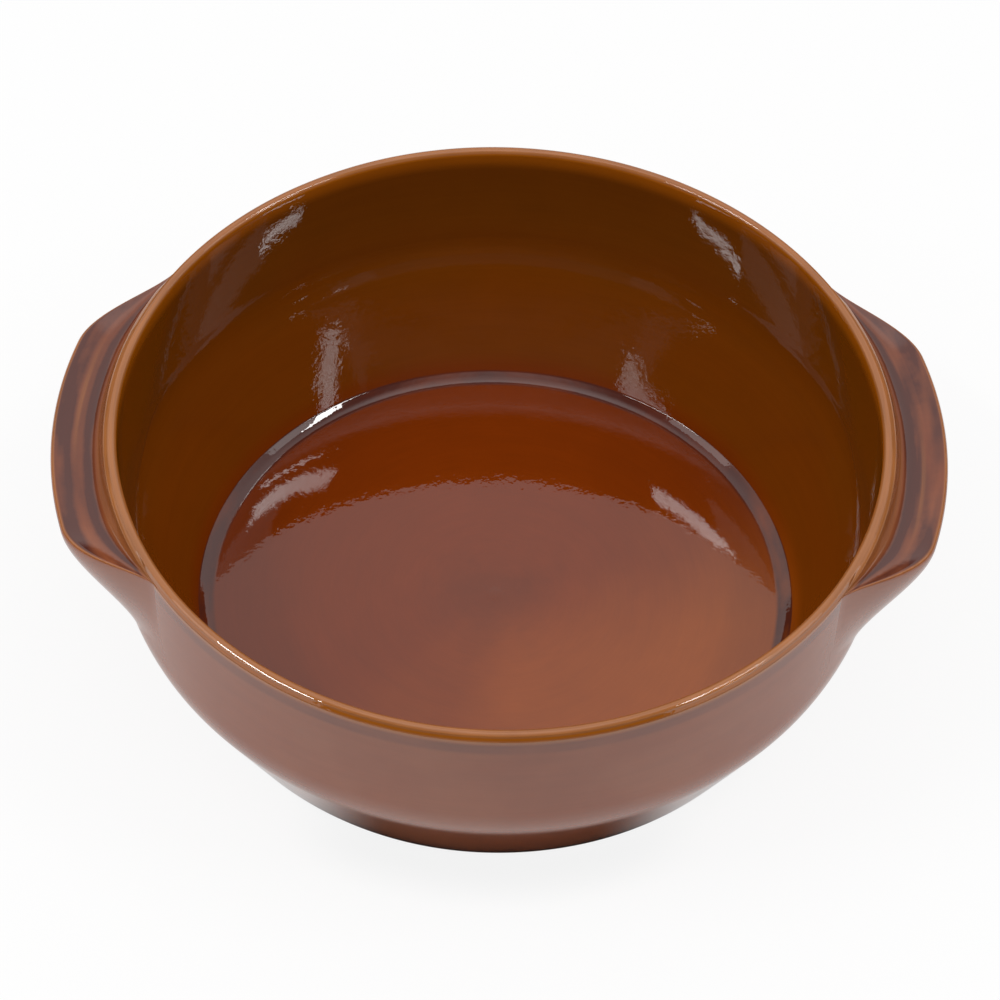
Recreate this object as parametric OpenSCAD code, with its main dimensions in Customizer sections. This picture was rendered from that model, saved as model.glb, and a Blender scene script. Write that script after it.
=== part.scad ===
// Deep round serving dish in glazed stoneware, with two lug handles luted to its rim.
// Millimetres, +Z up. The origin is the middle of the foot, on the surface the dish stands on.
// The handles lie along X, the left one towards -X.

/* [Bowl] */
// Diameter across the shoulder just under the lip
rim_d = 240; // [200:1:300]
// Height from the foot to the top of the lip
dish_h = 87; // [75:0.5:110]
// Thickness of the wall below the shoulder
wall_t = 5; // [4:0.25:8]
// Thickness of the rounded lip
lip_t = 3.4; // [2.8:0.1:3.8]
// How far the lip stands back from the shoulder
lip_setback = 0.3; // [0:0.05:0.6]
// Height of the lip above the shoulder
lip_h = 2.8; // [2.2:0.1:3.4]
// Height at which the upright wall turns in
knee_h = 48.2; // [40:0.1:56]
// Outer radius of that turn
knee_r = 34.6; // [20:0.1:40]
// Lean of the upright wall, in degrees
wall_lean = 1.9; // [0:0.1:4]
// Lean of the lower wall, in degrees
taper_lean = 27.7; // [18:0.1:34]
// Height at which the two inner faces of the wall would meet
inner_knee_h = 45.5; // [38:0.1:54]
// Radius of the turn between them
inner_knee_r = 35; // [15:0.5:50]

/* [Floor and foot] */
// Thickness of the floor above the foot recess
floor_t = 4.6; // [4:0.1:9]
// Radius inside where the wall meets the floor
floor_fillet = 2.75; // [1.5:0.25:12]
// Radius outside where the wall meets the foot
foot_round = 3.5; // [1.5:0.25:6]
// Width of the foot ring
foot_w = 8; // [5:0.5:16]
// Depth of the recess inside the foot ring
recess_depth = 1.5; // [0.5:0.1:3]

/* [Handles] */
// How far a handle stands out from the shoulder
handle_reach = 16.6; // [10:0.1:24]
// Drop from the shoulder to the handle's crest
crest_drop = 4; // [2:0.1:8]
// Depth of the trough below the crest
trough_depth = 2.6; // [0.5:0.1:4]
// Radius of the handle's crest
crest_r = 1.5; // [0.8:0.1:2.5]
// Height of the handle's root on the wall
root_h = 38.5; // [28:0.5:48]
// How far the handle's outer face carries straight down below the crest
face_pull = 10; // [4:0.5:16]
// How far the handle's root runs along the wall before it swings out
root_pull = 7; // [3:0.5:14]
// Half of the arc where the handle has its full reach, in degrees
handle_flat_deg = 16.3; // [10:0.1:22]
// Half of the arc that the whole handle spans, in degrees
handle_end_deg = 33; // [28:0.1:42]
// Thickness of the slip that lutes a handle to the wall
slip_t = 0.6; // [0.4:0.05:1]

/* [Hidden] */
$fn = 180;

clay_brown = [0.45, 0.24, 0.11];
handle_brown = [0.50, 0.29, 0.20];
slip_tan = [0.72, 0.60, 0.46];

// Radial sections are drawn as [radius, height]
shoulder = [rim_d / 2, dish_h - lip_h];
lip_r = lip_t / 2;
lip_mid = [shoulder.x - lip_setback - lip_r, dish_h - lip_r];
floor_h = recess_depth + floor_t;

// Outward directions of the upright wall and of the tapered wall
upright_out = [cos(wall_lean), -sin(wall_lean)];
taper_out = [cos(taper_lean), -sin(taper_lean)];

// The knee of the outer face
knee_top = [shoulder.x - (shoulder.y - knee_h) * tan(wall_lean), knee_h];
knee_mid = knee_top - knee_r * upright_out;
taper_top = knee_mid + knee_r * taper_out;

// Lean and radius of the outer face at a height
function wall_lean_at(h) =
    h > knee_h ? wall_lean
    : h > taper_top.y ? asin((knee_mid.y - h) / knee_r)
    : taper_lean;
function wall_r(h) =
    h > knee_h ? shoulder.x - (shoulder.y - h) * tan(wall_lean)
    : h > taper_top.y ? knee_mid.x + knee_r * cos(wall_lean_at(h))
    : taper_top.x - (taper_top.y - h) * tan(taper_lean);

// The inner face: its knee lies a wall inside the outer face, and it runs straight up from there to touch the lip
inner_corner = [wall_r(inner_knee_h) - wall_t, inner_knee_h];
lip_from_corner = lip_mid - inner_corner;
inner_lean = atan2(lip_from_corner.x, lip_from_corner.y) - asin(lip_r / norm(lip_from_corner));
inner_out = [cos(inner_lean), -sin(inner_lean)];
inner_up = [sin(inner_lean), cos(inner_lean)];
inner_at_lip = lip_mid - lip_r * inner_out;
inner_knee_mid = inner_corner - inner_knee_r * (inner_out + taper_out) / (1 + inner_out * taper_out);
inner_knee_low = inner_knee_mid + inner_knee_r * taper_out;
inner_knee_high = inner_knee_mid + inner_knee_r * inner_out;

// Centres of the rounding inside at the floor and outside at the foot, against a tapered face through a point
function taper_round(face, round_r, level) =
    let (h = level + round_r)
    [(face * taper_out - round_r - taper_out.y * h) / taper_out.x, h];
floor_round_mid = taper_round(inner_corner, floor_fillet, floor_h);
foot_round_mid = taper_round(taper_top, foot_round, 0);
recess_r = foot_round_mid.x - foot_w;

// Solid outline of the wall's outer face
module outer_outline() {
    polygon([
        [0, 0],
        [foot_round_mid.x, 0],
        foot_round_mid + foot_round * taper_out,
        taper_top,
        knee_top,
        shoulder,
        [0, shoulder.y]
    ]);
    intersection() {
        translate(knee_mid) circle(r = knee_r);
        square([rim_d, knee_h]);
    }
    intersection() {
        translate(foot_round_mid) circle(r = foot_round);
        square([rim_d, foot_round_mid.y]);
    }
}

// Outline of the hollow that holds the food
module hollow_outline() {
    polygon([
        [0, floor_h],
        [floor_round_mid.x, floor_h],
        floor_round_mid + floor_fillet * taper_out,
        inner_knee_low,
        inner_knee_high,
        inner_at_lip,
        inner_at_lip + lip_t * inner_up,
        [0, dish_h + lip_t]
    ]);
    intersection() {
        translate(inner_knee_mid) circle(r = inner_knee_r);
        translate([0, inner_knee_low.y]) square([rim_d, inner_knee_high.y - inner_knee_low.y]);
    }
    translate(floor_round_mid) circle(r = floor_fillet);
}

module bowl() {
    color(clay_brown) rotate_extrude() difference() {
        union() {
            outer_outline();
            // Neck and rounded lip
            polygon([
                lip_mid,
                lip_mid - lip_t * inner_out,
                lip_mid - lip_t * inner_out - lip_h * inner_up,
                [lip_mid.x, shoulder.y - lip_h]
            ]);
            translate(lip_mid) circle(r = lip_r);
        }
        hollow_outline();
        square([recess_r, recess_depth]);
    }
}

// Handle form: a radial section whose share of the full reach eases to almost nothing at both ends.
// Counts of the sections along it and of the points around one
handle_steps = 36;
seat_points = 10;
trough_points = 9;
crest_points = 4;
cove_points = 12;
// Shares left at the two ends: of the reach, of the crest's radius, of the cove's height and of the slip
end_share = 0.05;
end_crest_share = 0.3;
end_cove_share = 0.74;
end_slip_share = 0.25;
// How fast the crest drops as the reach grows
crest_drop_ease = 0.72;
// Where the trough's curve is pulled to, as shares of its width and of its depth
trough_pull_in = [0.1, 1.73];
trough_pull_out = [0.42, 1.38];
// Hairline between the slip's flat facets and the round wall
bond_gap = 0.1;

function ease(t) = t * t * (3 - 2 * t);
function part_share(at_end, share) = at_end + (1 - at_end) * share;
function reach_share(deg) =
    max(end_share, ease(min(1, (handle_end_deg - abs(deg)) / (handle_end_deg - handle_flat_deg))));
function bezier(a, b, c, d, t) =
    pow(1 - t, 3) * a + 3 * pow(1 - t, 2) * t * b + 3 * (1 - t) * t * t * c + pow(t, 3) * d;
// Points along a curve from a to d, without a itself
function curve(a, b, c, d, count) = [for (i = [1 : count - 1]) bezier(a, b, c, d, i / (count - 1))];

// Heights of the crest, of its outer face and of the root, and thickness of the slip, at a share of the reach
function crest_at(share) = shoulder.y - crest_drop * pow(share, crest_drop_ease);
function slip_at(share) = slip_t * part_share(end_slip_share, share);
function round_at(share) =
    min(crest_r * part_share(end_crest_share, share), (handle_reach * share - slip_at(share)) / 2);
function face_at(share) = crest_at(share) - round_at(share);
function root_at(share) = face_at(share) - (face_at(1) - root_h) * part_share(end_cove_share, share);

// The seat: points up the wall from the root to the shoulder, a coat away from it and closest at the root
function seat(share, coat) =
    let (root = root_at(share))
    [for (i = [0 : seat_points - 1])
        let (h = root + (shoulder.y - root) * pow(i / (seat_points - 1), 2))
        [wall_r(h) + coat, h]];
function backwards(list) = [for (i = [len(list) - 1 : -1 : 0]) list[i]];

// Section through a handle: seat, trough, rounded crest, then the long cove down to the root
function handle_section(share) =
    let (
        edge = shoulder.x + handle_reach * share,
        round_r = round_at(share),
        seat_top = [shoulder.x + slip_at(share), shoulder.y],
        crest_in = [edge - round_r, crest_at(share)],
        trough_w = crest_in.x - seat_top.x,
        trough_h = trough_depth * share,
        cove_share = part_share(end_cove_share, share),
        face = [edge, face_at(share)],
        root = [wall_r(root_at(share)) + slip_at(share), root_at(share)],
        trough = curve(
            seat_top,
            [seat_top.x + trough_pull_in.x * trough_w, crest_in.y - trough_pull_in.y * trough_h],
            [seat_top.x + trough_pull_out.x * trough_w, crest_in.y - trough_pull_out.y * trough_h],
            crest_in,
            trough_points),
        crest = [for (i = [1 : crest_points - 1])
            let (turn = 90 * (1 - i / crest_points))
            [crest_in.x + round_r * cos(turn), face.y + round_r * sin(turn)]],
        cove = curve(
            root,
            root + root_pull * cove_share * [tan(wall_lean_at(root.y)), 1],
            face - [0, face_pull * cove_share],
            face,
            cove_points)
    )
    concat(seat(share, slip_at(share)), trough, crest, backwards(cove));

// Section through the slip under a handle, with a bevel below the root
function slip_section(share) =
    let (coat = slip_at(share), toe_h = root_at(share) - coat)
    concat([[wall_r(toe_h) + bond_gap, toe_h]], seat(share, bond_gap), backwards(seat(share, coat)));

// Loft through one section for each step around the dish. Cross flips the diagonals of the facets
module loft(sections, cross) {
    ring = len(sections[0]);
    last = handle_steps * ring;
    points = [for (i = [0 : handle_steps], p = sections[i])
        let (deg = handle_end_deg * (2 * i / handle_steps - 1))
        [p.x * cos(deg), p.x * sin(deg), p.y]];
    sides = [for (i = [0 : handle_steps - 1], j = [0 : ring - 1])
        let (a = i * ring + j, b = i * ring + (j + 1) % ring)
        each cross
            ? [[a, b, a + ring], [b, b + ring, a + ring]]
            : [[a, b, b + ring], [a, b + ring, a + ring]]];
    near_cap = [[for (j = [ring - 1 : -1 : 0]) j]];
    far_cap = [[for (j = [0 : ring - 1]) last + j]];
    polyhedron(points = points, faces = concat(sides, near_cap, far_cap));
}

shares = [for (i = [0 : handle_steps]) reach_share(handle_end_deg * (2 * i / handle_steps - 1))];

module handle() {
    color(handle_brown) loft([for (share = shares) handle_section(share)], false);
}

// Layer of fired slip between the wall and a handle
module slip_joint() {
    color(slip_tan) loft([for (share = shares) slip_section(share)], true);
}

module right_handle() { handle(); }
module left_handle() { rotate(180) handle(); }
module right_slip_joint() { slip_joint(); }
module left_slip_joint() { rotate(180) slip_joint(); }

bowl();
left_handle();
right_handle();
left_slip_joint();
right_slip_joint();
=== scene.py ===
"""Deep round serving dish in brown glazed stoneware, dressed around its CAD frame."""

import math

import bpy
from bpy.props import FloatProperty, FloatVectorProperty, IntProperty, PointerProperty
from mathutils import Matrix, Vector


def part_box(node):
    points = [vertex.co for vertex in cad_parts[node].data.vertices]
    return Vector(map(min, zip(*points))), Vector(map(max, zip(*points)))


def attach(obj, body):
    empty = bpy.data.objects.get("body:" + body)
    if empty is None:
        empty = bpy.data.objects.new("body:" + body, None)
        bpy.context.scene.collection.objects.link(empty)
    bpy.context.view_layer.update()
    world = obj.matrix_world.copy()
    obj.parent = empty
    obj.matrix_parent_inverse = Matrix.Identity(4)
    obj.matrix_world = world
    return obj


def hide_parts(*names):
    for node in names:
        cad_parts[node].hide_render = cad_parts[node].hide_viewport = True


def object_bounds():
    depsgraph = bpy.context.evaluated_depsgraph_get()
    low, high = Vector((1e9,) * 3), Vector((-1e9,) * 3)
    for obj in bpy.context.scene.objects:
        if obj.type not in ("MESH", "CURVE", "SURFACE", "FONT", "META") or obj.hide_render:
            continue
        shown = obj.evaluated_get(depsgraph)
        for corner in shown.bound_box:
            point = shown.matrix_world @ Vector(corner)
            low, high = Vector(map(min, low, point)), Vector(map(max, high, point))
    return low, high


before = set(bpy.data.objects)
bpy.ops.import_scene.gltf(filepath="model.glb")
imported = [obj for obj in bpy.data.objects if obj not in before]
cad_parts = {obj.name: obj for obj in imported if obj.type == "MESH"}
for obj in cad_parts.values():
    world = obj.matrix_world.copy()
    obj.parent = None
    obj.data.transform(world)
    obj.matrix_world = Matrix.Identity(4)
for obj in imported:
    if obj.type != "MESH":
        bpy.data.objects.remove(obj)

bl_info = {
    "name": "Glazed Serving Dish",
    "version": (1, 0, 0),
    "blender": (4, 5, 0),
    "location": "3D View > Sidebar > Dish",
    "description": "Models a deep serving dish with lug handles, its brown glaze and a plain studio",
    "category": "Mesh",
}

BODY = "root"
MM = 0.001

CAD_LOW, CAD_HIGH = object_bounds()
_, BOWL_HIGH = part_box("bowl")

# The floor: its size, how far it reaches before the dish, and the ring where its painted contact shadow
# turns from dark to pale
FLOOR_SIZE = 12.0
FLOOR_FRONT = 0.31
PAINTED_SHADOW_R, PAINTED_SHADOW_END_R = 0.101, 0.12
FLOOR_PAINTED_SHADOW, FLOOR_PALE = (0.08, 0.08, 0.08), (0.93, 0.93, 0.93)

# Strip lamps: name, side, turn and rise in degrees, width, height, share of brightness, roll in degrees
LAMP_AWAY = 2.0
STRIPS = (
    ("low_strip_left", -1, -23, 40.7, 0.4, 0.07, 1.0, 18),
    ("low_strip_right", 1, -19, 42.4, 0.34, 0.07, 1.0, -10),
    ("high_strip_left", -1, -16, 55.5, 0.66, 0.11, 1.0, 15),
    ("high_strip_right", 1, -8, 60.5, 0.65, 0.11, 0.7, 0),
)
# Panels on both sides: name, turn and rise in degrees, width, height
PANELS = (("low", 2, 38, 0.9, 0.25), ("high", 4, 52, 0.5, 0.5))
PANEL_ROLL = -25

# The camera: rise and turn in degrees, distance and height of its aim, small turns in radians, lens
CAMERA_RISE, CAMERA_TURN = 48.42, -0.614
CAMERA_AWAY, CAMERA_LIFT = 12 * 0.1164, 0.087
CAMERA_TILT, CAMERA_SWING, CAMERA_ROLL = -0.0164, -0.0004, -0.028
SENSOR_WIDTH = 36.0
LENS_RATIO = 4.6009


def tenths(length):
    """A length of the frame, rounded to a tenth of a millimetre."""
    return round(length, 4)


def tint(red, green, blue):
    """A colour as a screen shows it, from 0 to 255, in linear light."""
    def linear(part):
        part /= 255
        return part / 12.92 if part <= 0.04045 else ((part + 0.055) / 1.055) ** 2.4
    return tuple(linear(part) for part in (red, green, blue))


def length(name, description, millimetres):
    """A length that a user may change."""
    return FloatProperty(name=name, description=description, default=millimetres * MM,
                         min=0.0, unit="LENGTH", precision=4)


def angle(name, description, degrees):
    """An angle that a user may change."""
    return FloatProperty(name=name, description=description, default=math.radians(degrees),
                         subtype="ANGLE")


def colour(name, description, default):
    """A colour that a user may change."""
    return FloatVectorProperty(name=name, description=description, default=default,
                               size=3, min=0.0, max=1.0, subtype="COLOR")


# Sizes and colours

class DishSizes(bpy.types.PropertyGroup):
    """Sizes of the bowl and of its lug handles."""
    rim_r: FloatProperty(name="Rim radius", description="Radius of the shoulder under the lip",
                         default=tenths(BOWL_HIGH.y), unit="LENGTH", precision=4)
    height: FloatProperty(name="Height", description="Height from the foot to the top of the lip",
                          default=tenths(BOWL_HIGH.z), unit="LENGTH", precision=4)
    wall: length("Wall", "Thickness of the wall", 5.0)
    lip: length("Lip", "Thickness of the rounded lip", 3.4)
    lip_setback: length("Lip setback", "How far the lip stands back from the shoulder", 0.3)
    lip_height: length("Lip height", "Height of the lip above the shoulder", 2.0)
    knee_height: length("Knee height", "Height at which the upright wall turns in", 48.2)
    knee_r: length("Knee radius", "Outer radius of that turn", 34.6)
    wall_lean: angle("Wall lean", "Lean of the upright wall", 1.9)
    taper_lean: angle("Taper lean", "Lean of the lower wall", 27.7)
    inner_knee_height: length("Inner knee height", "Height at which the two inner faces would meet",
                              45.5)
    inner_knee_r: length("Inner knee radius", "Radius of the turn between them", 35.0)
    upper_bow: length("Upper bow", "How far the upper inner face bows out", 0.6)
    lower_bow: length("Lower bow", "How far the lower inner face bows out", 0.2)
    floor_height: length("Floor height", "Height of the floor inside", 6.1)
    floor_dish: length("Floor dish", "How far the floor sinks from its edge to its middle", 0.1)
    floor_cove: length("Floor cove", "Width of the shallow cove around the floor", 5.4)
    cove_tilt: angle("Cove tilt", "Slope of that cove where it meets the wall", 29.5)
    foot_round: length("Foot rounding", "Radius outside where the wall meets the foot", 3.5)
    foot_width: length("Foot width", "Width of the foot ring", 8.0)
    recess: length("Foot recess", "Depth of the recess inside the foot ring", 1.5)
    pip: length("Pip", "Height of the small pip in the middle of the floor", 0.25)
    pip_r: length("Pip radius", "Radius of that pip", 3.5)

    reach: FloatProperty(name="Lug reach", description="How far a lug stands out from the shoulder",
                         default=tenths(CAD_HIGH.x) - tenths(BOWL_HIGH.y), unit="LENGTH",
                         precision=4)
    crest_drop: length("Crest drop", "Drop from the shoulder to the lug's crest", 4.8)
    trough_depth: length("Trough depth", "Depth of the trough below the crest", 2.6)
    crest_r: length("Crest radius", "Radius of the lug's crest", 1.5)
    root_height: length("Root height", "Height of the lug's root on the wall", 38.5)
    face_pull: length("Face pull", "How far the lug's outer face carries straight down", 10.0)
    root_pull: length("Root pull", "How far the lug's root runs along the wall", 7.0)
    flat_arc: angle("Full arc", "Half of the arc where a lug has its full reach", 16.3)
    end_arc: angle("Whole arc", "Half of the arc that a whole lug spans", 33.0)

    wobble: length("Wobble", "Unevenness of the formed clay", 0.16)
    turn_steps: IntProperty(name="Turn steps", description="Steps around the bowl",
                            default=288, min=72, max=720)
    lug_steps: IntProperty(name="Lug steps", description="Steps along a lug",
                           default=112, min=24, max=240)


class GlazeColours(bpy.types.PropertyGroup):
    """Colours of the glaze, from thin to pooled, and of the clay."""
    outer: colour("Outside", "Glaze on the outer wall and the lugs", tint(148, 80, 46))
    outer_red: colour("Outside red", "Redder patches of the outer wall", tint(140, 68, 32))
    upper: colour("Inside above", "Thick glaze on the upper inner wall", tint(113, 60, 5))
    lower: colour("Inside below", "Glaze on the lower inner wall", tint(120, 57, 4))
    floor: colour("Floor", "Glaze on the floor", tint(122, 47, 3))
    # A lighter colour that the inner floor takes towards its front right
    floor_pale: colour("Pale floor", "Thinner glaze on one side of the floor", tint(164, 81, 14))
    smudge: colour("Smudge", "Thick glaze in the middle of the floor", tint(98, 40, 12))
    # Painted shade: a darker colour near the foot, standing for the shadowed floor that the glaze
    # mirrors there
    foot: colour("Foot", "Dark glaze that has run down to the foot", tint(72, 37, 22))
    thin: colour("Thin", "Thin glaze on the lip and the edges", tint(166, 102, 53))
    amber: colour("Amber", "Clear glaze on the slope under the lip", tint(168, 92, 10))
    mauve: colour("Mauve", "Dark glaze pooled in the troughs, under the shoulder and around the floor",
                  tint(84, 38, 28))
    clay: colour("Clay", "Bare clay of the foot ring", tint(188, 150, 118))


class StudioLight(bpy.types.PropertyGroup):
    """Levels of the plain studio light."""
    sky: FloatProperty(name="Sky", description="Strength of the soft light from all round",
                       default=0.9, min=0.0)
    sheet: FloatProperty(name="Sheet",
                         description="Brightness of the white sheet high behind the dish",
                         default=0.8, min=0.0)
    strip: FloatProperty(name="Strips", description="Brightness of the strip lamps at the sides",
                         default=25.0, min=0.0)
    panel: FloatProperty(name="Panels", description="Brightness of the wide panels beside the strips",
                         default=1.3, min=0.0)
    overhead: FloatProperty(name="Overhead", description="Brightness of the soft glow overhead",
                            default=0.8, min=0.0)
    room: FloatProperty(name="Room", description="Brightness of the dark room in front of the dish",
                        default=0.07, min=0.0)
    floor_white: FloatProperty(name="White floor",
                               description="Share of the floor that shows as plain white",
                               default=0.88, min=0.0, max=1.0)
    floor_mirror: FloatProperty(name="Mirrored floor",
                                description="Share of the floor that glaze mirrors as plain white",
                                default=0.4, min=0.0, max=1.0)


# Outlines, as points of a radius and a height

def direction(lean):
    """Outward direction of a wall that leans out by an angle."""
    return Vector((math.cos(lean), -math.sin(lean)))


def arc(mid, radius, start, stop, count):
    """Points of an arc between two angles in degrees, both ends in."""
    turns = [math.radians(start + (stop - start) * i / (count - 1)) for i in range(count)]
    return [mid + radius * Vector((math.cos(turn), math.sin(turn))) for turn in turns]


def line(start, stop, count):
    """Points of a straight line, both ends in."""
    return [start.lerp(stop, i / (count - 1)) for i in range(count)]


def bowed(start, stop, bow, count):
    """Points of a line that bows out to its right, both ends in."""
    side = Vector((stop.y - start.y, start.x - stop.x)).normalized()
    shares = [i / (count - 1) for i in range(count)]
    return [start.lerp(stop, share) + 4 * bow * share * (1 - share) * side for share in shares]


def curve(a, b, c, d, count):
    """Points of a Bezier curve, both ends in."""
    points = []
    for i in range(count):
        t = i / (count - 1)
        points.append((1 - t) ** 3 * a + 3 * (1 - t) ** 2 * t * b
                      + 3 * (1 - t) * t * t * c + t ** 3 * d)
    return points


def ease(low, high, value):
    """Runs smoothly from 0 to 1 as a value goes from low to high."""
    t = min(1.0, max(0.0, (value - low) / (high - low)))
    return t * t * (3 - 2 * t)


def hump(middle, width, value):
    """Runs smoothly from 0 to 1 and back around a middle value."""
    return 1 - ease(0.0, width, abs(value - middle))


class Wall:
    """Shape of the bowl's wall, worked out from its sizes."""

    def __init__(self, sizes):
        self.shoulder = Vector((sizes.rim_r, sizes.height - sizes.lip_height))
        self.lip_r = sizes.lip / 2
        self.lip_mid = Vector((sizes.rim_r - sizes.lip_setback - self.lip_r,
                               sizes.height - self.lip_r))
        self.lean = sizes.wall_lean
        self.taper = sizes.taper_lean
        self.knee_height = sizes.knee_height
        self.knee_r = sizes.knee_r
        drop = self.shoulder.y - sizes.knee_height
        self.knee_top = Vector((sizes.rim_r - drop * math.tan(self.lean), sizes.knee_height))
        self.knee_mid = self.knee_top - self.knee_r * direction(self.lean)
        self.taper_top = self.knee_mid + self.knee_r * direction(self.taper)
        self.inner_corner = Vector((self.radius_at(sizes.inner_knee_height) - sizes.wall,
                                    sizes.inner_knee_height))
        away = self.lip_mid - self.inner_corner
        self.inner_lean = math.atan2(away.x, away.y) - math.asin(self.lip_r / away.length)
        upper, lower = direction(self.inner_lean), direction(self.taper)
        self.inner_knee_mid = self.inner_corner - (
            sizes.inner_knee_r * (upper + lower) / (1 + upper.dot(lower)))

    def inner_at(self, height):
        """Point of the lower inner face at a height."""
        drop = self.inner_corner.y - height
        return Vector((self.inner_corner.x - drop * math.tan(self.taper), height))

    def rounding(self, face, radius, level):
        """Middle of a rounding between the tapered face through a point and a level."""
        out = direction(self.taper)
        height = level + radius
        return Vector(((face.dot(out) - radius - out.y * height) / out.x, height))

    def lean_at(self, height):
        """Lean of the outer face at a height."""
        if height > self.knee_height:
            return self.lean
        if height > self.taper_top.y:
            return math.asin((self.knee_mid.y - height) / self.knee_r)
        return self.taper

    def radius_at(self, height):
        """Radius of the outer face at a height."""
        if height > self.knee_height:
            return self.shoulder.x - (self.shoulder.y - height) * math.tan(self.lean)
        if height > self.taper_top.y:
            return self.knee_mid.x + self.knee_r * math.cos(self.lean_at(height))
        return self.taper_top.x - (self.taper_top.y - height) * math.tan(self.taper)


class Outline:
    """Points of a section, each with the shares of the glaze's finishes that it shows."""

    FINISHES = ("inside", "thin", "amber", "mauve", "bare")

    def __init__(self):
        self.points = []
        self.shares = {finish: [] for finish in self.FINISHES}

    def add(self, points, joined=True, **shares):
        """Adds points, without the first one if it is the last one already there.

        A share is one value, or a list with a value for each point.
        """
        for i, point in enumerate(points):
            if joined and i == 0 and self.points:
                continue
            self.points.append(point)
            for finish in self.FINISHES:
                share = shares.get(finish, 0.0)
                self.shares[finish].append(share[i] if isinstance(share, list) else share)


def bowl_outline(sizes):
    """Section of the bowl, from the middle of its floor over the lip to the middle of its underside."""
    wall = Wall(sizes)
    out = Outline()
    taper_out = direction(wall.taper)
    taper_deg = math.degrees(wall.taper)
    lean_deg = math.degrees(wall.lean)
    inner_deg = math.degrees(wall.inner_lean)
    foot_mid = wall.rounding(wall.taper_top, sizes.foot_round, 0.0)

    # The floor, with its pip, and the shallow cove around it, where dark glaze pools
    cove_steps = 20
    pooled = 0.85
    rises = [0.0]
    for i in range(cove_steps):
        tilt = sizes.cove_tilt * ease(0.0, 0.75, (i + 0.5) / cove_steps)
        rises.append(rises[-1] + sizes.floor_cove / cove_steps * math.tan(tilt))
    corner = wall.inner_at(sizes.floor_height + rises[-1])
    floor_r = corner.x - sizes.floor_cove

    def floor_at(radius):
        sunk = sizes.floor_dish * (1 - (radius / floor_r) ** 4)
        return sizes.floor_height - sunk + sizes.pip * (1 - ease(0.2, 1.0, radius / sizes.pip_r))

    radii = [sizes.pip_r * i / 8 for i in range(8)]
    radii += [sizes.pip_r + (floor_r - sizes.pip_r) * i / 23 for i in range(24)]
    out.add([Vector((radius, floor_at(radius))) for radius in radii], inside=1.0)
    cove = [Vector((floor_r + sizes.floor_cove * i / cove_steps, sizes.floor_height + rises[i]))
            for i in range(cove_steps)]
    out.add(cove, inside=1.0,
            mauve=[pooled * ease(0.0, 0.3, i / (cove_steps - 1)) for i in range(cove_steps)])

    # The bend from the cove into the inner wall, and that wall up to the lip
    bend_height = 0.4 * MM
    wall_start = wall.inner_at(corner.y + bend_height)
    bend = curve(cove[-1], cove[-1].lerp(corner, 0.7), wall_start.lerp(corner, 0.7), wall_start, 7)
    out.add(bend, inside=1.0, mauve=[pooled * (1 - ease(0.3, 1.0, i / 6)) for i in range(7)])
    knee_start = wall.inner_knee_mid + sizes.inner_knee_r * taper_out
    out.add(bowed(wall_start, knee_start, sizes.lower_bow, 14), inside=1.0)
    out.add(arc(wall.inner_knee_mid, sizes.inner_knee_r, -taper_deg, -inner_deg, 16), inside=1.0)
    inner_top = wall.lip_mid - wall.lip_r * direction(wall.inner_lean)
    rise = bowed(out.points[-1], inner_top, sizes.upper_bow, 24)
    out.add(rise, inside=1.0, amber=[ease(-6 * MM, -1 * MM, p.y - inner_top.y) for p in rise])

    # The lip, thin on its broad top and amber down its inner flank, with a flatter bevel outside
    turns = [180 - inner_deg + (inner_deg - 90) * i / 23 for i in range(24)]
    tops = [ease(158, 138, turn) for turn in turns]
    out.add(arc(wall.lip_mid, wall.lip_r, turns[0], turns[-1], 24),
            inside=[ease(140, 165, turn) for turn in turns],
            thin=tops, amber=[1 - top for top in tops])
    brow_end, bevel_end = 63, 58.5
    brow = arc(wall.lip_mid, wall.lip_r, 90, brow_end, 12)
    out.add(brow, thin=1.0)
    bevel_r = 7.0 * MM
    bevel_mid = brow[-1] - (bevel_r / wall.lip_r) * (brow[-1] - wall.lip_mid)
    bevel = arc(bevel_mid, bevel_r, brow_end, bevel_end, 8)
    out.add(bevel, thin=1.0)

    # The slope from the lip down to the shoulder's rounded edge, where clear glaze pools
    edge_r = 0.5 * MM
    edge_thin = 0.9
    edge_mid = wall.shoulder - Vector((edge_r + 0.02 * MM, edge_r))
    edge = arc(edge_mid, edge_r, 45, -lean_deg, 8)
    ledge = edge[0]
    waist = bevel[-1] + Vector((0.05, -0.125)) * MM
    turn_down = curve(bevel[-1], bevel[-1] + Vector((0.03, -0.02)) * MM,
                      waist.lerp(ledge, -0.04), waist, 6)
    out.add(turn_down, thin=1.0)
    shares = [1 - ease(0.2, 0.45, i / 13) + 0.8 * ease(0.75, 1.0, i / 13) for i in range(14)]
    out.add(line(waist, ledge, 14), thin=shares, amber=[1 - share for share in shares])
    out.add(edge, thin=edge_thin)

    # The outer wall, with dark glaze just under the shoulder
    fall = line(out.points[-1], wall.knee_top, 60)
    downs = [(wall.shoulder.y - p.y) / MM for p in fall]
    out.add(fall, thin=[edge_thin * (1 - ease(0.8, 2.0, down)) for down in downs],
            mauve=[0.34 * ease(1.4, 2.2, down) * (1 - ease(5.2, 7.0, down)) for down in downs])
    out.add(arc(wall.knee_mid, wall.knee_r, -lean_deg, -taper_deg, 16))
    out.add(line(wall.taper_top, foot_mid + sizes.foot_round * taper_out, 16))
    foot_turns = [-taper_deg + (taper_deg - 90) * i / 9 for i in range(10)]
    out.add(arc(foot_mid, sizes.foot_round, -taper_deg, -90, 10),
            bare=[ease(-62, -78, turn) for turn in foot_turns])

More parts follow.
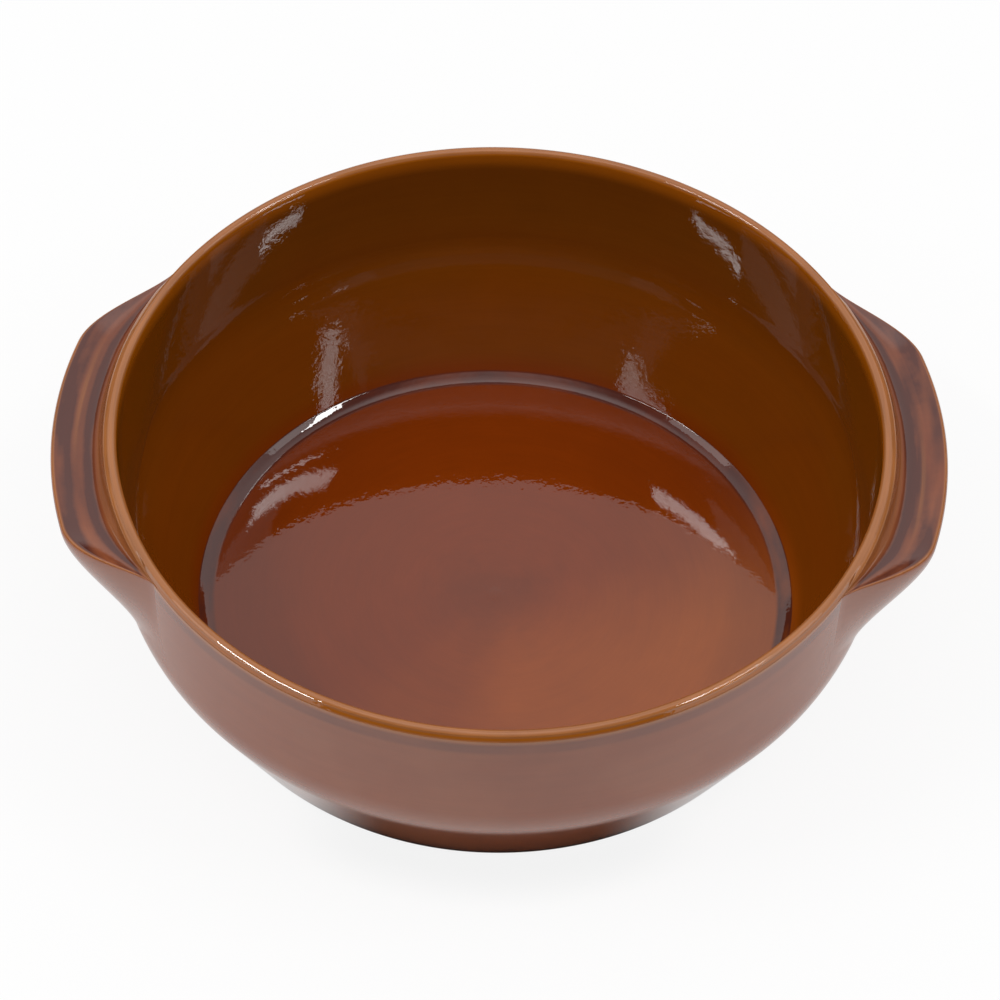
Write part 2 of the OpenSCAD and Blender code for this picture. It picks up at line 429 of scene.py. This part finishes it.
    # The foot ring, the recess and the underside
    ring_r = 0.6 * MM
    ring_in = foot_mid.x - sizes.foot_width
    out.add(line(Vector((foot_mid.x, 0.0)), Vector((ring_in + ring_r, 0.0)), 6), bare=1.0)
    out.add(arc(Vector((ring_in + ring_r, ring_r)), ring_r, -90, -180, 6),
            bare=[1.0, 1.0, 0.9, 0.5, 0.2, 0.0])
    out.add(line(Vector((ring_in, ring_r)), Vector((ring_in, sizes.recess - ring_r)), 2))
    out.add(arc(Vector((ring_in - ring_r, sizes.recess - ring_r)), ring_r, 0, 90, 5))
    out.add(line(Vector((ring_in - ring_r, sizes.recess)), Vector((0.0, sizes.recess)), 20))
    return out


def lug_share(sizes, turn, full_arc):
    """Runs from 1 over an arc around a lug's middle to 0 at its ends."""
    return ease(0.0, 1.0, (sizes.end_arc - abs(turn)) / (sizes.end_arc - full_arc))


def lug_outline(sizes, turn):
    """Section of a lug at a turn from its middle: trough, crest, cove, and back inside the wall."""
    wall = Wall(sizes)
    out = Outline()
    sink = 1.6 * MM
    share = lug_share(sizes, turn, sizes.flat_arc)

    def kept(at_end):
        """Runs from a share at a lug's ends to 1 over its middle."""
        return at_end + (1 - at_end) * share

    cove_kept = kept(0.74)

    # The very ends lie just under the wall's face
    reach = sizes.reach * share - 0.12 * MM * (1 - ease(0.0, 0.1, share))
    edge = wall.shoulder.x + reach
    round_r = max(0.05 * MM, min(sizes.crest_r * kept(0.3), reach / 2))
    crest = Vector((edge - round_r, wall.shoulder.y - sizes.crest_drop * share ** 0.72))
    face = Vector((edge, crest.y - round_r))
    full_face = wall.shoulder.y - sizes.crest_drop - sizes.crest_r
    root_height = face.y - (full_face - sizes.root_height) * cove_kept
    root = Vector((wall.radius_at(root_height), root_height))
    width = crest.x - wall.shoulder.x
    depth = sizes.trough_depth * lug_share(sizes, turn, 0.4 * sizes.flat_arc)
    fade = ease(0.0, 0.12, share)

    # The lug's clay fills the slope under the lip
    filled = ease(0.0, 0.35, share)
    start = wall.shoulder + Vector((-0.06, -0.05)).lerp(Vector((-0.76, 1.5)), filled) * MM
    hip = wall.shoulder + Vector((-0.05, -0.06)).lerp(Vector((0.4, 0.55)), filled) * MM
    fill = curve(start, start + Vector((0.35, -0.22)) * filled * MM,
                 hip + Vector((-0.25, 0.32)) * filled * MM, hip, 7)

    # Down into the trough and up to the crest
    trough = curve(hip, Vector((hip.x + 0.1 * width, crest.y - 1.73 * depth)),
                   Vector((hip.x + 0.42 * width, crest.y - 1.38 * depth)), crest, 34)
    spans = [(p.x - wall.shoulder.x) / max(reach, 0.25 * sizes.reach) for p in trough]
    streak = 0.5 * fade * hump(-0.12, 0.25, turn)
    out.add([start - Vector((sink, 0.0))])
    out.add(fill, joined=False, thin=1.0)
    worn = [max(0.95 * (1 - ease(0.03, 0.08, span)), 0.55 * (1 - ease(0.13, 0.2, span)))
            + streak * hump(0.56, 0.06, span) for span in spans]
    pooled = [fade * max(1.15 * hump(0.34, 0.2, span),
                         ease(0.15, 0.3, span) * (0.55 + 0.4 * ease(0.6, 0.68, span)))
              for span in spans]
    out.add(trough, thin=worn, mauve=pooled)
    out.add(arc(Vector((crest.x, face.y)), round_r, 90, 0, 12),
            thin=[0.9 * fade * hump(0.4, 0.4, i / 11) for i in range(12)],
            mauve=[0.75 * fade * (1 - ease(0.1, 0.4, i / 11)) for i in range(12)])

    # The cove, down to where it lies along the wall
    below = Vector((math.tan(wall.lean) * (1 - share), 1.0)) * sizes.face_pull * cove_kept
    along = Vector((math.tan(wall.lean_at(root.y)), 1.0)) * sizes.root_pull * cove_kept
    out.add(curve(face, face - below, root + along, root, 44))
    out.add([root - Vector((sink, sink))], joined=False)
    return out


# Modelling

def start_piece(name, first):
    """Adds a plane, draws it together into one point and moves that to the start of an outline."""
    bpy.ops.object.select_all(action="DESELECT")
    bpy.ops.mesh.primitive_plane_add(size=0.01)
    piece = bpy.context.object
    piece.name = piece.data.name = name
    bpy.ops.object.mode_set(mode="EDIT")
    bpy.ops.mesh.select_all(action="SELECT")
    bpy.ops.mesh.merge(type="CENTER")
    bpy.ops.transform.translate(value=first)
    return piece


def draw_outline(name, outline, turn=0.0):
    """Extrudes an outline, one point after the other, in the upright plane at a turn from X."""
    spots = [Vector((p.x * math.cos(turn), p.x * math.sin(turn), p.y)) for p in outline.points]
    piece = start_piece(name, spots[0])
    for last, spot in zip(spots, spots[1:]):
        bpy.ops.mesh.extrude_vertices_move(TRANSFORM_OT_translate={"value": spot - last})
    bpy.ops.object.mode_set(mode="OBJECT")
    if len(piece.data.vertices) != len(spots):
        drawn = len(piece.data.vertices)
        raise RuntimeError(f"{name}: the outline has {drawn} points, not {len(spots)}")
    return piece


def store(piece, name, kind, values):
    """Stores one value for each point of a piece."""
    layer = piece.data.attributes.new(name, kind, "POINT")
    layer.data.foreach_set("value", values)


def spin(steps, turn):
    """Spins all that is drawn around the dish's axis."""
    bpy.ops.object.mode_set(mode="EDIT")
    bpy.ops.mesh.select_all(action="SELECT")
    bpy.ops.mesh.spin(steps=steps, angle=turn, center=(0, 0, 0), axis=(0, 0, 1),
                      use_auto_merge=True)


def close_up():
    """Merges the points that meet, points all faces outwards and leaves edit mode."""
    bpy.ops.mesh.select_all(action="SELECT")
    bpy.ops.mesh.remove_doubles(threshold=1e-6)
    bpy.ops.mesh.normals_make_consistent(inside=False)
    bpy.ops.object.mode_set(mode="OBJECT")


def finish_clay(piece, sizes, glaze):
    """Gives a piece the slight unevenness of formed clay, smooth shading and its glaze."""
    textures = bpy.data.textures
    texture = textures.get("clay wobble") or textures.new("clay wobble", "CLOUDS")
    texture.noise_scale = 0.045
    texture.noise_depth = 1
    modifier = piece.modifiers.new("Wobble", "DISPLACE")
    modifier.texture = texture
    modifier.texture_coords = "OBJECT"
    modifier.strength = sizes.wobble
    modifier.mid_level = 0.5
    bpy.ops.object.modifier_apply(modifier=modifier.name)
    bpy.ops.object.shade_smooth_by_angle(angle=math.radians(40))
    piece.data.materials.clear()
    piece.data.materials.append(glaze)


def check_closed(piece):
    """Stops if an edge of a piece doesn't lie between two faces."""
    uses = [0] * len(piece.data.edges)
    for loop in piece.data.loops:
        uses[loop.edge_index] += 1
    if any(use != 2 for use in uses):
        raise RuntimeError(f"{piece.name}: {sum(use != 2 for use in uses)} edges aren't closed")


# Shader maths

class Wire:
    """A shader socket that works in Python expressions, each of which adds its Math node."""

    def __init__(self, bench, socket):
        self.bench = bench
        self.socket = socket

    def maths(self, operation, *others):
        """Adds a Math node that works on this and on others."""
        return self.bench.add("ShaderNodeMath", {"operation": operation},
                              dict(enumerate((self, *others))))

    def __add__(self, other):
        return self.maths("ADD", other)

    __radd__ = __add__

    def __sub__(self, other):
        return self.maths("SUBTRACT", other)

    def __rsub__(self, other):
        return self * -1 + other

    def __mul__(self, other):
        return self.maths("MULTIPLY", other)

    __rmul__ = __mul__

    def __truediv__(self, other):
        return self.maths("DIVIDE", other)

    def clamp(self):
        return self.bench.add("ShaderNodeClamp", {}, {0: self})

    def ramp(self, low, high):
        """Runs smoothly from 0 to 1 as this goes from low to high."""
        return self.bench.add("ShaderNodeMapRange", {"interpolation_type": "SMOOTHSTEP"},
                              {0: self, 1: low, 2: high})


class Bench:
    """A node tree, with one method that adds its nodes."""

    def __init__(self, tree):
        self.tree = tree
        tree.nodes.clear()

    def add(self, kind, settings, inputs, output=0):
        """Adds a node, sets it up, fills or links its sockets and gives one of its outputs."""
        node = self.tree.nodes.new(kind)
        for name, value in settings.items():
            setattr(node, name, value)
        for name, value in inputs.items():
            socket = node.inputs[name]
            if isinstance(value, Wire):
                self.tree.links.new(value.socket, socket)
            else:
                plain = socket.type == "RGBA" and len(value) == 3
                socket.default_value = (*value, 1.0) if plain else value
        return Wire(self, node.outputs[output]) if len(node.outputs) else node

    def share(self, name):
        """A finish's share, stored on the piece."""
        return self.add("ShaderNodeAttribute", {"attribute_name": name}, {}, "Fac")

    def noise(self, vector, scale, detail=2.0):
        """Soft noise from 0 to 1."""
        return self.add("ShaderNodeTexNoise", {}, {"Vector": vector, "Scale": scale, "Detail": detail})

    def blend(self, first, second, factor):
        """A colour between two."""
        return self.add("ShaderNodeMix", {"data_type": "RGBA"}, {0: factor, 6: first, 7: second}, 2)

    def around(self, x, y, track, detail):
        """Soft noise along a track, drawn out around the dish."""
        spot = self.add("ShaderNodeCombineXYZ", {}, {0: x, 1: y, 2: track})
        return self.noise(spot, 1.0, detail)


def mix_glaze(colours):
    """The brown glaze: treacle inside, milky brown outside, tan on edges, dark where it pools."""
    material = bpy.data.materials.new("brown glaze")
    material.use_nodes = True
    bench = Bench(material.node_tree)
    # The place on the dish, in millimetres
    place = bench.add("ShaderNodeTexCoord", {}, {}, "Object")
    across, deep, height = [bench.add("ShaderNodeSeparateXYZ", {}, {0: place}, i) / MM
                            for i in range(3)]
    radius = (across * across + deep * deep + 0.01).maths("SQRT")

    clouds = bench.noise(place, 22.0, 3.0)
    patches = bench.noise(place, 70.0, 3.0)
    grain = bench.noise(place, 420.0, 3.0)
    # Lines around the dish, from turning and brushing, fine and broad
    track = radius * 0.8 + height * 0.6
    lines = bench.around(across / radius * 5, deep / radius * 5, track * 1.6, 2.0)
    bands = bench.around(across / radius * 2, deep / radius * 2, track * 0.35, 3.0)
    brushed = bench.around(across / radius * 4, deep / radius * 4, track * 0.16, 2.0)
    frays = (patches - 0.5) * 0.5 + (grain - 0.5) * 0.3 + (bands - 0.5) * 0.6

    inside = bench.share("inside").ramp(0.1, 0.9)
    thin = (bench.share("thin") * (1 + frays * 0.7)).clamp()
    # Clear glaze lies on the slope under the lip, but hardly where a lug meets it
    kept = across.ramp(-20.0, 20.0) * (1 - deep.ramp(-15.0, 5.0))
    beside = across.maths("ABSOLUTE").ramp(97.0, 106.0) * (1 - kept * 0.8)
    groove = bench.share("amber")
    amber = (groove * (1 - beside * (1 - inside))).clamp()
    thin = (thin + groove * beside * (1 - inside) * 0.95).clamp()
    # The right lug is darker near the wall and redder near its crest
    darker = across.ramp(122.0, 125.0) * (1 - across.ramp(127.5, 130.5))
    mauve = bench.share("mauve") * (1 + darker * 0.6 - across.ramp(129.0, 131.0) * 0.3)
    mauve = (mauve * (1 + frays + (brushed - 0.5) * 2.6)).clamp()
    bare = (bench.share("bare") + frays * 0.4).ramp(0.4, 0.6)

    outside = bench.blend(colours.outer, colours.outer_red, clouds.ramp(0.35, 0.65) * 0.8)
    raised = (height + (clouds - 0.5) * 30).ramp(26.0, 66.0)
    wall = bench.blend(colours.lower, colours.upper, raised)
    # The floor is lighter towards one side and has a smudge of thick glaze in its middle
    smudge = (1 - (radius + (patches - 0.5) * 24).ramp(2.0, 30.0)) * 0.42
    pale = (across * 0.6 - deep * 0.8 + (clouds - 0.5) * 60).ramp(-10.0, 90.0) * 0.9
    ground = bench.blend(colours.floor, colours.floor_pale, pale)
    ground = bench.blend(ground, colours.smudge, smudge)
    hollow = bench.blend(ground, wall, height.ramp(6.4, 15.0))
    # Painted shade: the outer wall darkens towards the foot, standing for the shadowed floor that the
    # glaze mirrors there
    painted_foot_shade = (1 - (height + (patches - 0.5) * 4).ramp(0.5, 9.0)) * 0.7
    outside = bench.blend(outside, colours.foot, painted_foot_shade)
    tone = bench.blend(outside, hollow, inside)
    tone = bench.blend(tone, colours.mauve, mauve)
    tone = bench.blend(tone, colours.amber, amber)
    tone = bench.blend(tone, colours.thin, thin)
    streaks = 0.82 + bands * 0.12 + patches * 0.12 + lines * 0.12 + thin * (lines - 0.5) * 0.5
    grey = bench.add("ShaderNodeCombineColor", {}, {0: streaks, 1: streaks, 2: streaks})
    shade = bench.add("ShaderNodeMix", {"data_type": "RGBA", "blend_type": "MULTIPLY"},
                      {0: 1.0, 6: tone, 7: grey}, 2)
    skin = bench.blend(shade, colours.clay, bare)

    # The glaze's ripples, fine, middling and broad
    ripple = (bench.noise(place, 700.0, 1.0) * 0.6 + bench.noise(place, 300.0) * 1.5
              + bench.noise(place, 90.0) * 1.5)
    ripple_depth = 0.02 * MM
    bump = bench.add("ShaderNodeBump", {},
                     {"Strength": 1.0, "Distance": ripple_depth, "Height": ripple})
    gloss = bench.add("ShaderNodeBsdfPrincipled", {}, {
        "Base Color": skin,
        "Roughness": 0.015 + grain * 0.03 + bare * 0.6,
        "IOR": 1.65,
        "Normal": bump})
    bench.add("ShaderNodeOutputMaterial", {}, {"Surface": gloss})
    return material


def glaze_of(context):
    """The dish's one glaze, mixed when the first piece asks for it."""
    return bpy.data.materials.get("brown glaze") or mix_glaze(context.scene.dish_colours)


# Operators

class DISH_OT_throw_bowl(bpy.types.Operator):
    """Spin the bowl's section and glaze it"""
    bl_idname = "dish.throw_bowl"
    bl_label = "Throw the Bowl"
    bl_options = {"REGISTER", "UNDO"}

    def execute(self, context):
        sizes = context.scene.dish_sizes
        outline = bowl_outline(sizes)
        piece = draw_outline("bowl_glazed", outline)
        for finish, values in outline.shares.items():
            store(piece, finish, "FLOAT", values)
        spin(sizes.turn_steps, math.tau)
        close_up()
        finish_clay(piece, sizes, glaze_of(context))
        check_closed(piece)
        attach(piece, BODY)
        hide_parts("bowl")
        return {"FINISHED"}


class DISH_OT_lute_lugs(bpy.types.Operator):
    """Spin a lug along the rim, ease its ends into the wall and set a second one opposite"""
    bl_idname = "dish.lute_lugs"
    bl_label = "Lute the Lugs"
    bl_options = {"REGISTER", "UNDO"}

    def execute(self, context):
        sizes = context.scene.dish_sizes
        outline = lug_outline(sizes, 0.0)
        count = len(outline.points)
        piece = draw_outline("right_lug_glazed", outline, sizes.end_arc)
        store(piece, "place", "INT", range(count))
        bpy.ops.object.mode_set(mode="EDIT")
        bpy.ops.mesh.select_all(action="DESELECT")
        bpy.ops.object.mode_set(mode="OBJECT")
        piece.data.vertices[0].select = piece.data.vertices[count - 1].select = True
        bpy.ops.object.mode_set(mode="EDIT")
        bpy.ops.mesh.edge_face_add()
        spin(sizes.lug_steps, 2 * sizes.end_arc)
        bpy.ops.mesh.select_all(action="DESELECT")
        bpy.ops.mesh.select_non_manifold()
        bpy.ops.mesh.fill_holes(sides=0)
        bpy.ops.object.mode_set(mode="OBJECT")
        self.ease_ends(piece, sizes)
        bpy.ops.object.mode_set(mode="EDIT")
        close_up()
        bpy.ops.object.duplicate()
        other = context.object
        other.name = other.data.name = "left_lug_glazed"
        bpy.ops.transform.rotate(value=math.pi, orient_axis="Z", center_override=(0, 0, 0))
        bpy.ops.object.transform_apply(location=True, rotation=True, scale=True)
        self.finish(other, context, "left")
        bpy.ops.object.select_all(action="DESELECT")
        piece.select_set(True)
        context.view_layer.objects.active = piece
        self.finish(piece, context, "right")
        return {"FINISHED"}

    def ease_ends(self, piece, sizes):
        """Moves each slice to the section that a lug has there, with the finishes of that section."""
        slices = {}
        places = [0] * len(piece.data.vertices)
        piece.data.attributes["place"].data.foreach_get("value", places)
        shares = {finish: [] for finish in Outline.FINISHES}
        for vertex, place in zip(piece.data.vertices, places):
            turn = round(math.atan2(vertex.co.y, vertex.co.x), 5)
            if turn not in slices:
                slices[turn] = lug_outline(sizes, turn)
            point = slices[turn].points[place]
            vertex.co = (point.x * math.cos(turn), point.x * math.sin(turn), point.y)
            for finish in Outline.FINISHES:
                shares[finish].append(slices[turn].shares[finish][place])
        for finish, values in shares.items():
            store(piece, finish, "FLOAT", values)
        piece.data.attributes.remove(piece.data.attributes["place"])

    def finish(self, piece, context, side):
        """Finishes a lug, hangs it on the body and hides the CAD parts that it stands for."""
        finish_clay(piece, context.scene.dish_sizes, glaze_of(context))
        check_closed(piece)
        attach(piece, BODY)
        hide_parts(f"{side}_handle", f"{side}_slip_joint")


class DISH_OT_set_stage(bpy.types.Operator):
    """Lay a pale floor, light it softly and set up the camera"""
    bl_idname = "dish.set_stage"
    bl_label = "Set the Stage"
    bl_options = {"REGISTER", "UNDO"}

    def execute(self, context):
        studio = context.scene.dish_studio
        context.scene.view_settings.view_transform = "Standard"
        self.lay_floor(studio)
        self.light_sky(context, studio)
        for name, side, turn, rise, width, height, share, roll in STRIPS:
            self.hang_box(name, self.spot(side, turn, rise), width, height, studio.strip * share, roll)
        for hand, side in (("left", -1), ("right", 1)):
            for level, turn, rise, width, height in PANELS:
                self.hang_box(f"{level}_panel_{hand}", self.spot(side, turn, rise), width, height,
                              studio.panel, PANEL_ROLL * side)
        self.place_camera(context)
        return {"FINISHED"}

    def lay_floor(self, studio):
        """Lays a pale floor with a shadow painted into its colour right before the foot, under the
        front of the dish.
        """
        middle = FLOOR_SIZE / 2 - FLOOR_FRONT
        bpy.ops.object.select_all(action="DESELECT")
        bpy.ops.mesh.primitive_plane_add(size=FLOOR_SIZE, location=(0.0, middle, 0.0))
        floor = bpy.context.object
        floor.name = floor.data.name = "floor"
        material = bpy.data.materials.new("pale floor")
        material.use_nodes = True
        bench = Bench(material.node_tree)
        # The distance from the dish's axis, and how squarely a place lies before the dish
        place = bench.add("ShaderNodeTexCoord", {}, {}, "Object")
        across, deep = [bench.add("ShaderNodeSeparateXYZ", {}, {0: place}, i) for i in (0, 1)]
        deep = deep + middle
        away = (across * across + deep * deep).maths("SQRT")
        before = (0 - deep) / away
        # Painted shadow: the floor's colour is dark right before the foot, under the front of the dish,
        # and the glaze mirrors that painted shadow too
        clear = 1 - (1 - away.ramp(PAINTED_SHADOW_R, PAINTED_SHADOW_END_R)) * before.ramp(0.78, 0.95)
        tone = bench.blend(FLOOR_PAINTED_SHADOW, FLOOR_PALE, clear)
        matt = bench.add("ShaderNodeBsdfDiffuse", {}, {"Color": tone})
        white = bench.add("ShaderNodeEmission", {}, {"Strength": 1.0})
        seen, mirrored = [bench.add("ShaderNodeLightPath", {}, {}, output)
                          for output in ("Is Camera Ray", "Is Glossy Ray")]
        share = seen * studio.floor_white + mirrored * studio.floor_mirror * clear
        pale = bench.add("ShaderNodeMixShader", {}, {0: share, 1: matt, 2: white})
        bench.add("ShaderNodeOutputMaterial", {}, {"Surface": pale})
        floor.data.materials.append(material)

    def light_sky(self, context, studio):
        """Sets up the light from all round, and what the glaze mirrors of the room."""
        world = bpy.data.worlds.new("studio")
        world.use_nodes = True
        bench = Bench(world.node_tree)
        direct, mirrored, through = [bench.add("ShaderNodeLightPath", {}, {}, output) for output in
                                     ("Is Camera Ray", "Is Glossy Ray", "Is Transmission Ray")]
        way = bench.add("ShaderNodeTexCoord", {}, {}, "Generated")
        back, up = [bench.add("ShaderNodeSeparateXYZ", {}, {0: way}, i) for i in (1, 2)]
        # A white sheet hangs high behind the dish, and the room in front of it is dark
        hung = back.ramp(-0.2, 0.4) * up.ramp(0.3, 0.42)
        glow = up.ramp(0.9, 0.99) * studio.overhead
        soft = up.ramp(0.1, 0.9) * 0.85 + 0.15
        around = studio.room + hung * (studio.sheet - studio.room) + glow
        level = direct + (mirrored + through) * around
        strength = level + (1 - (direct + mirrored + through).clamp()) * soft * studio.sky
        sky = bench.add("ShaderNodeBackground", {}, {"Color": (1.0, 1.0, 1.0), "Strength": strength})
        bench.add("ShaderNodeOutputWorld", {}, {"Surface": sky})
        context.scene.world = world

    def spot(self, side, turn, rise):
        """A place for a lamp, turned from beside the dish to its back and raised, in degrees."""
        turn, rise = math.radians(turn), math.radians(rise)
        return LAMP_AWAY * Vector((side * math.cos(turn) * math.cos(rise),
                                   math.sin(turn) * math.cos(rise), math.sin(rise)))

    def hang_box(self, name, place, width, height, brightness, roll):
        """Hangs a lamp with an even white front that faces the dish."""
        bpy.ops.object.select_all(action="DESELECT")
        bpy.ops.object.light_add(type="AREA", location=place)
        box = bpy.context.object
        box.name = box.data.name = name
        facing = place.to_track_quat("Z", "Y").to_matrix() @ Matrix.Rotation(math.radians(roll), 3, "Z")
        box.rotation_euler = facing.to_euler()
        box.data.shape = "RECTANGLE"
        box.data.size = width
        box.data.size_y = height
        box.data.energy = brightness * math.pi * width * height

    def place_camera(self, context):
        """Places the camera above the front of the dish, a little askew."""
        rise = math.radians(CAMERA_RISE)
        place = Vector((0.0, -CAMERA_AWAY * math.cos(rise), CAMERA_AWAY * math.sin(rise) + CAMERA_LIFT))
        ahead = Vector((0.0, math.cos(rise), -math.sin(rise)))
        right = Vector((1.0, 0.0, 0.0))
        up = right.cross(ahead)
        tilt = Matrix.Rotation(CAMERA_TILT, 3, right)
        ahead, up = tilt @ ahead, tilt @ up
        swing = Matrix.Rotation(CAMERA_SWING, 3, up)
        ahead, right = swing @ ahead, swing @ right
        roll = Matrix.Rotation(CAMERA_ROLL, 3, ahead)
        right, up = roll @ right, roll @ up
        turn = Matrix.Rotation(math.radians(CAMERA_TURN), 3, "Z")
        frame_of = Matrix((right, up, -ahead)).transposed()
        bpy.ops.object.camera_add()
        camera = bpy.context.object
        camera.name = camera.data.name = "camera"
        camera.matrix_world = Matrix.LocRotScale(turn @ place, (turn @ frame_of).to_quaternion(), None)
        camera.data.sensor_width = SENSOR_WIDTH
        camera.data.lens = SENSOR_WIDTH * LENS_RATIO
        camera.data.dof.use_dof = False
        context.scene.camera = camera


class DISH_PT_panel(bpy.types.Panel):
    """Lists the steps that make the dish"""
    bl_label = "Serving Dish"
    bl_idname = "DISH_PT_panel"
    bl_space_type = "VIEW_3D"
    bl_region_type = "UI"
    bl_category = "Dish"

    def draw(self, context):
        for group in ("dish_sizes", "dish_colours", "dish_studio"):
            settings = getattr(context.scene, group)
            column = self.layout.column(align=True)
            for name in settings.__annotations__:
                column.prop(settings, name)
        for operator in OPERATORS:
            self.layout.operator(operator.bl_idname)


GROUPS = {"dish_sizes": DishSizes, "dish_colours": GlazeColours, "dish_studio": StudioLight}
OPERATORS = (DISH_OT_throw_bowl, DISH_OT_lute_lugs, DISH_OT_set_stage)


def register():
    for cls in (*GROUPS.values(), *OPERATORS, DISH_PT_panel):
        bpy.utils.register_class(cls)
    for name, group in GROUPS.items():
        setattr(bpy.types.Scene, name, PointerProperty(type=group))


def unregister():
    for name in GROUPS:
        delattr(bpy.types.Scene, name)
    for cls in reversed((*GROUPS.values(), *OPERATORS, DISH_PT_panel)):
        bpy.utils.unregister_class(cls)


def main():
    register()
    bpy.ops.dish.throw_bowl()
    bpy.ops.dish.lute_lugs()
    bpy.ops.dish.set_stage()


if __name__ == "__main__":
    main()
